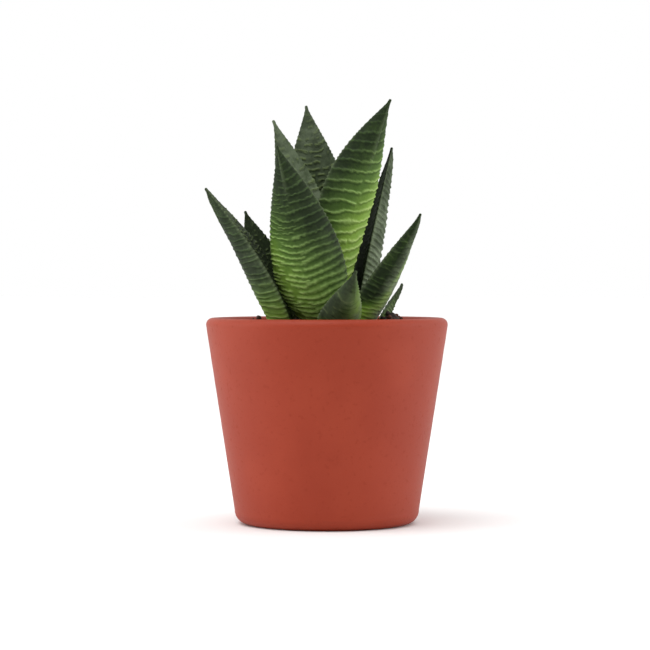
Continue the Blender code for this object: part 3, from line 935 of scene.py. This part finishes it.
def leaf_body(leaf, row_step):
    """The leaf without its relief: its section carried along its spine.

    A section is half an ellipse behind the spine and a flatter one inside it, with the margins
    curled inwards by the square of the place across. The tip is a round cap: half the width and the
    thickness blend into it as the fourth root of a sum of fourth powers. Returns the points, their t,
    s, u and rise, and half the width of each row in mm.
    """
    probe = leaf_spine(leaf, np.linspace(0, 1, 200))[0]
    length = np.sum(np.linalg.norm(np.diff(probe, axis=0), axis=1)) / MM
    rows = int(length * MM / row_step)
    columns = max(int(7 * leaf.width), 40)
    t = np.linspace(0, 1, rows + 1)[:-1]
    spine, across, back = leaf_spine(leaf, t)
    steps = np.linalg.norm(np.diff(spine, axis=0), axis=1) / MM
    s = np.concatenate([[0], np.cumsum(steps)])[:, None]
    width = leaf_width(leaf, t)[:, None]
    from_tip = np.clip((length - s) / TIP_ROUND, 0, 1)
    cap = TIP_ROUND * np.sqrt(1 - (1 - from_tip) ** 2)
    half = ((0.5 * leaf.width * width) ** 4 + cap ** 4) ** 0.25
    thick = ((leaf.back * width ** THICKNESS_FADE) ** 4 + cap ** 4) ** 0.25
    turn = np.linspace(0, TAU, columns, endpoint=False)[None, :]
    u, rise = np.cos(turn), np.sin(turn)
    inner = INNER_SHARE + (1 - INNER_SHARE) * np.clip(1 - width * 6, 0, 1)
    depth = rise * np.where(rise > 0, 1.0, inner) * thick - leaf.cup * width * u * u
    points = (spine[:, None] + across[:, None] * (half * u)[..., None] * MM
              + back[:, None] * depth[..., None] * MM)
    return points, *np.broadcast_arrays(t[:, None], s, u, rise), half


def grow(leaf, ribs, tint, seed, look):
    """A leaf's skin: its body raised along its normals by the relief, and closed at both ends."""
    points, t, s, u, rise, half = leaf_body(leaf, look.row_step)
    down = np.gradient(points, axis=0)
    beyond = np.roll(points, -1, axis=1) - np.roll(points, 1, axis=1)
    outward = unit(np.cross(down, beyond))
    height, teeth, marks = leaf_relief(ribs, seed, t, s, u, rise, half)
    lift = height * MM * look.rib_scale + teeth * look.tooth
    points = points + outward * lift[..., None]
    ends = leaf_spine(leaf, np.array([0.0, 1.0]))[0]
    index, beside, quads = grid_faces(*t.shape)
    every = np.concatenate([points.reshape(-1, 3), ends])
    closed = {name: np.append(values.ravel(), [values[0].mean(), values[-1].mean()])
              for name, values in leaf_tints(tint, marks, t, u, rise).items()}
    return add_mesh(leaf.name + "_skin", every, quads, poles(index, beside, t.size, t.size + 1), closed)


class HAWORTHIA_OT_leaves(Operator):
    """Grow the fourteen leaves, each with ribs across its back, warts inside and toothed margins"""
    bl_idname = "haworthia.leaves"
    bl_label = "Leaves"

    def execute(self, context):
        look = context.scene.haworthia_leaf
        skin = leaf_finish(look)
        for number, leaf in enumerate(LEAVES):
            piece = grow(leaf, RIBS[leaf.name], TINTS[leaf.name], 100 + 20 * number, look)
            piece.data.materials.append(skin)
            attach(piece, "root")
            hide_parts(leaf.name)
        return {"FINISHED"}


# ---------------------------------------------------------------- studio

FLOOR_REACH = 8.0                   # half the side of the floor, in metres
LIT_POINT = (0, 0, 0.07)            # the point that every light faces, in metres
CAMERA_X, CAMERA_Y = -0.57 * MM, -763 * MM
CAMERA_RISE = 13 * MM               # height of the camera above the rim
CAMERA_DIP = 1.148                  # how far it looks down, in degrees
CAMERA_LENS = 134.6                 # focal length in mm, for a sensor 36 mm wide


def add_light(name, kind, energy, place, **settings):
    """A light at a place, turned to face the plant."""
    lamp = bpy.data.lights.new(name, kind)
    lamp.energy = energy
    for setting, value in settings.items():
        setattr(lamp, setting, value)
    holder = bpy.data.objects.new(name, lamp)
    holder.location = place
    holder.rotation_euler = (Vector(LIT_POINT) - holder.location).to_track_quat("-Z", "Y").to_euler()
    bpy.context.scene.collection.objects.link(holder)


def white_surround(look):
    """A white world that is darker in front of the plant, where Y is low."""
    sky = Finish(bpy.data.worlds.new("white_surround"), "Background", "Generated")
    parts = sky.node("ShaderNodeSeparateXYZ", None, {"Vector": sky.place})
    depth = Value(sky, parts.outputs["Y"])
    return sky.done(
        Color=(1.0, 1.0, 1.0), Strength=sky.spread(depth, -0.9, 0.45, look.front, look.surround))


class HAWORTHIA_OT_stage(Operator):
    """Set up the pale floor, the white surroundings, the soft lights and the camera"""
    bl_idname = "haworthia.stage"
    bl_label = "Stage"

    def execute(self, context):
        look = context.scene.haworthia_studio
        scene = context.scene
        corners = FLOOR_REACH * np.array([[-1, -1, 0], [1, -1, 0], [1, 1, 0], [-1, 1, 0]])
        floor = add_mesh("floor", corners, np.array([[0, 1, 2, 3]]))
        floor.data.materials.append(floor_finish(look))
        scene.world = white_surround(look)
        scene.view_settings.view_transform = "Standard"

        add_light("overhead", "SUN", look.overhead, (-0.4, -0.6, 1.6), angle=math.radians(50))
        add_light("left_panel", "AREA", look.sides, (-0.62, -0.10, 0.22), size=0.5)
        add_light("right_panel", "AREA", look.sides, (0.62, -0.05, 0.22), size=0.5)

        lens = bpy.data.cameras.new("camera")
        lens.sensor_width = 36.0
        lens.lens = CAMERA_LENS
        camera = bpy.data.objects.new("camera", lens)
        camera.location = (CAMERA_X, CAMERA_Y, POT_HIGH.z + CAMERA_RISE)
        camera.rotation_euler = (math.radians(90 - CAMERA_DIP), 0.0, 0.0)
        scene.collection.objects.link(camera)
        scene.camera = camera
        return {"FINISHED"}


class HAWORTHIA_PT_panel(Panel):
    """The haworthia's pieces and their looks"""
    bl_idname = "HAWORTHIA_PT_panel"
    bl_label = "Potted Haworthia"
    bl_space_type = "VIEW_3D"
    bl_region_type = "UI"
    bl_category = "Haworthia"

    def draw(self, context):
        for operator, look in STEPS:
            self.layout.operator(operator)
            group = getattr(context.scene, look)
            column = self.layout.column(align=True)
            for setting in group.bl_rna.properties:
                if not setting.is_readonly and setting.identifier != "name":
                    column.prop(group, setting.identifier)


STEPS = (
    ("haworthia.stage", "haworthia_studio"),
    ("haworthia.pot", "haworthia_pot"),
    ("haworthia.soil", "haworthia_soil"),
    ("haworthia.stem", "haworthia_stem"),
    ("haworthia.leaves", "haworthia_leaf"),
)
LOOKS = {
    "haworthia_studio": StudioLook,
    "haworthia_pot": PotLook,
    "haworthia_soil": SoilLook,
    "haworthia_stem": StemLook,
    "haworthia_leaf": LeafLook,
}
CLASSES = (
    PotLook, SoilLook, StemLook, LeafLook, StudioLook,
    HAWORTHIA_OT_stage, HAWORTHIA_OT_pot, HAWORTHIA_OT_soil, HAWORTHIA_OT_stem, HAWORTHIA_OT_leaves,
    HAWORTHIA_PT_panel,
)


def register():
    for entry in CLASSES:
        bpy.utils.register_class(entry)
    for name, group in LOOKS.items():
        setattr(bpy.types.Scene, name, PointerProperty(type=group))


def unregister():
    for name in LOOKS:
        delattr(bpy.types.Scene, name)
    for entry in reversed(CLASSES):
        bpy.utils.unregister_class(entry)


def main():
    register()
    bpy.ops.haworthia.stage()
    bpy.ops.haworthia.pot()
    bpy.ops.haworthia.soil()
    bpy.ops.haworthia.stem()
    bpy.ops.haworthia.leaves()


if __name__ == "__main__":
    main()
